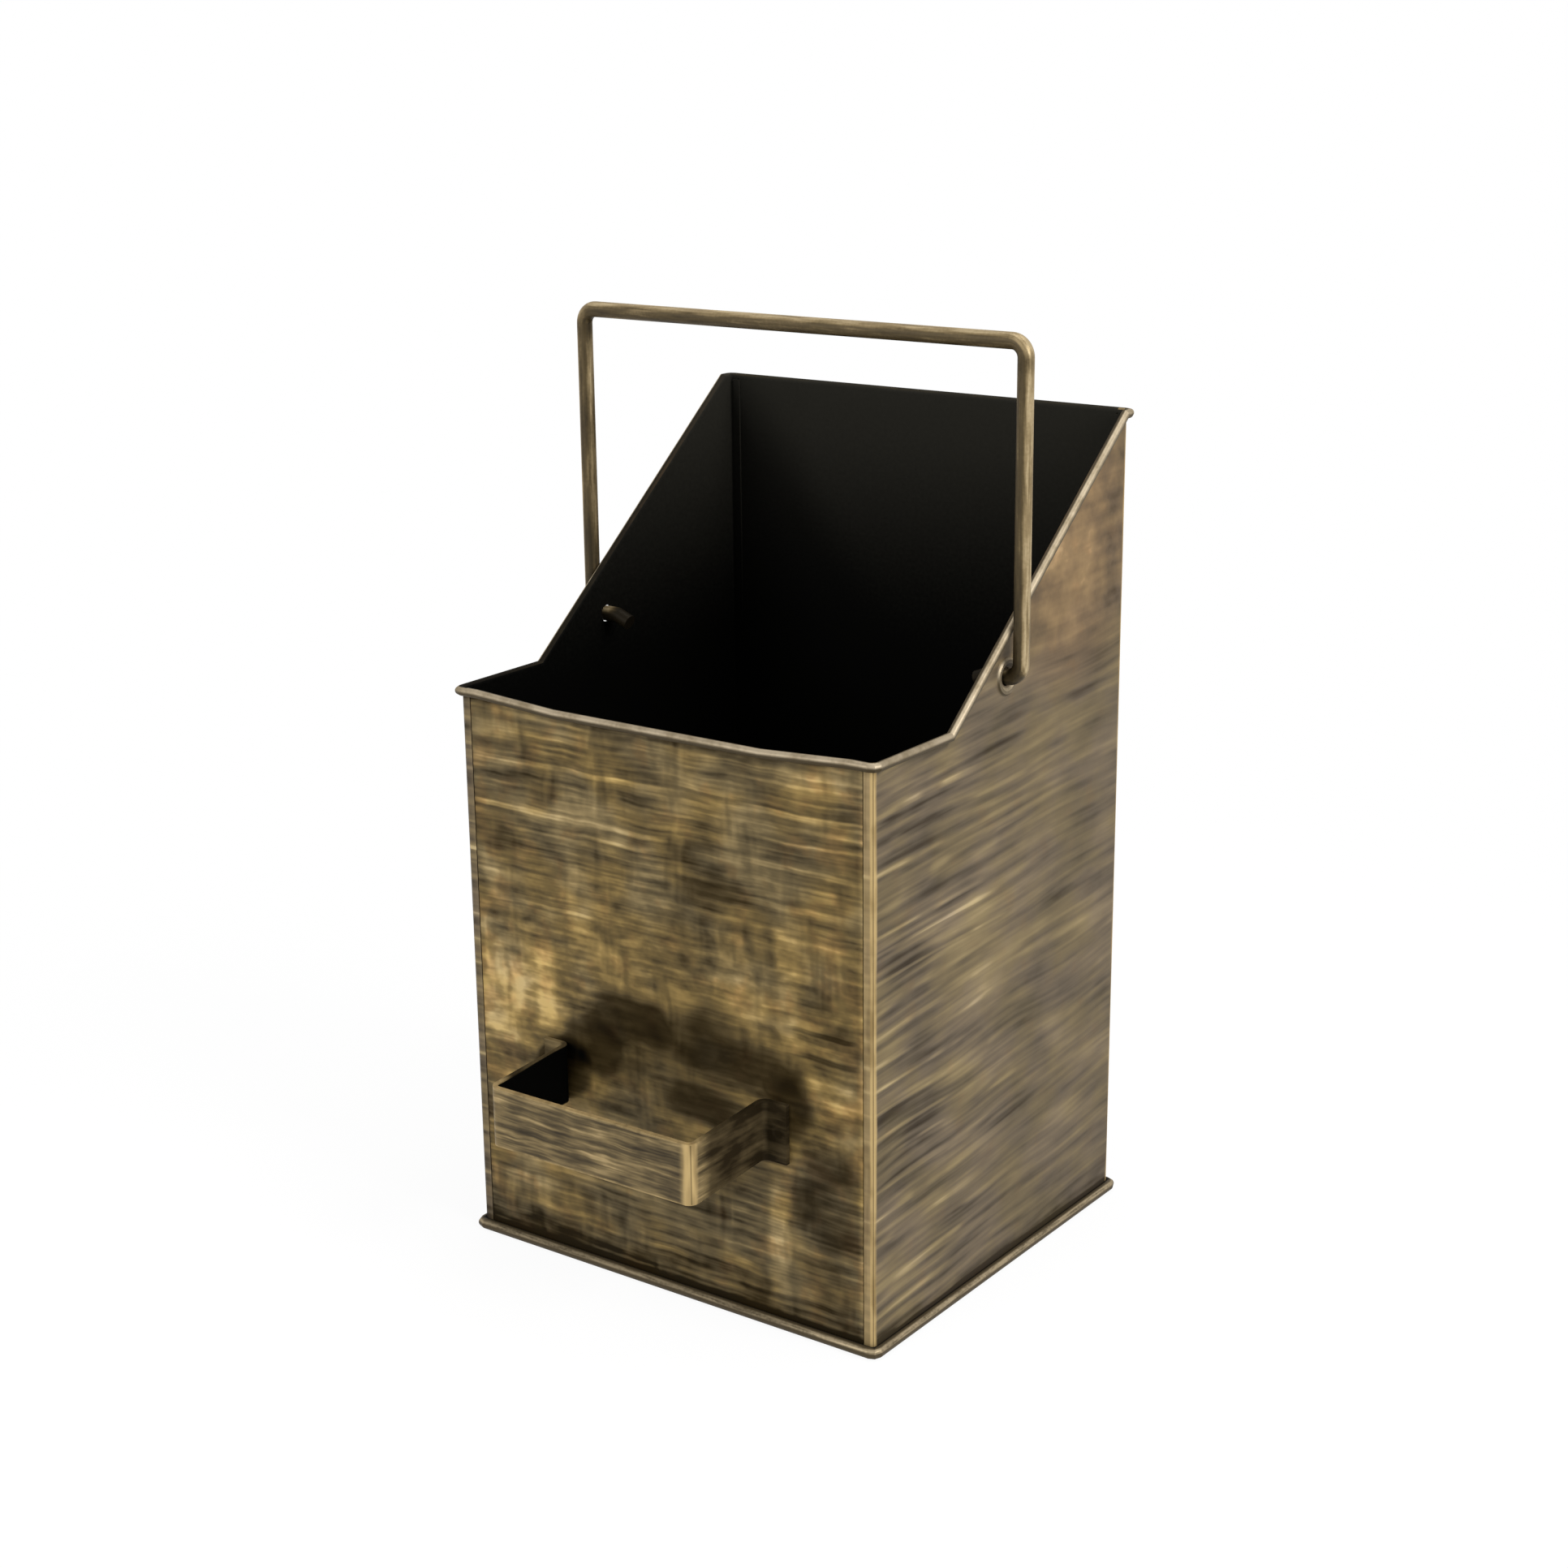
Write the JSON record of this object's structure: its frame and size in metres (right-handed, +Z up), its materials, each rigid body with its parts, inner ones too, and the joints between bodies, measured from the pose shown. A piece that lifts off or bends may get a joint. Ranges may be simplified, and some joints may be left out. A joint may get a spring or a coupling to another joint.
{
  "type": "ash hod",
  "caption": "Open rectangular sheet-metal hod for hearth ash: low front, side rims climbing to a tall back, rolled base, swinging wire bail and a fixed strap handle for tipping.",
  "frame": {"origin": "centre of the base's underside, on the surface that the hod stands on", "axes": "+Z up, -Y towards the low front with the tipping handle, +X to the right of someone facing the front"},
  "size_m": [0.2198, 0.2354, 0.3842],
  "materials": {
    "panel_paint": "black base coat, dry-brushed with antique brass outside, matt black inside",
    "base_paint": "black base coat, dry-brushed with antique brass on the rolled edge",
    "bail_paint": "black base coat rubbed with antique brass",
    "strap_paint": "black base coat, dry-brushed with antique brass, worn bright on the bends",
    "rim_wire_steel": "plain drawn wire"
  },
  "bodies": {
    "container": {"front_panel": "panel_paint", "back_panel": "panel_paint", "left_side_panel": "panel_paint", "right_side_panel": "panel_paint", "base_pan": "base_paint", "rim_wire": "rim_wire_steel", "tipping_handle": "strap_paint"},
    "bail": {"bail_handle": "bail_paint"}
  },
  "joints": [
    {"name": "bail_swing", "type": "hinge", "parent": "container", "child": "bail", "pos_m": [0, 0, 0.25196], "axis": [1, 0, 0], "range_deg": [-42, 132]}
  ]
}
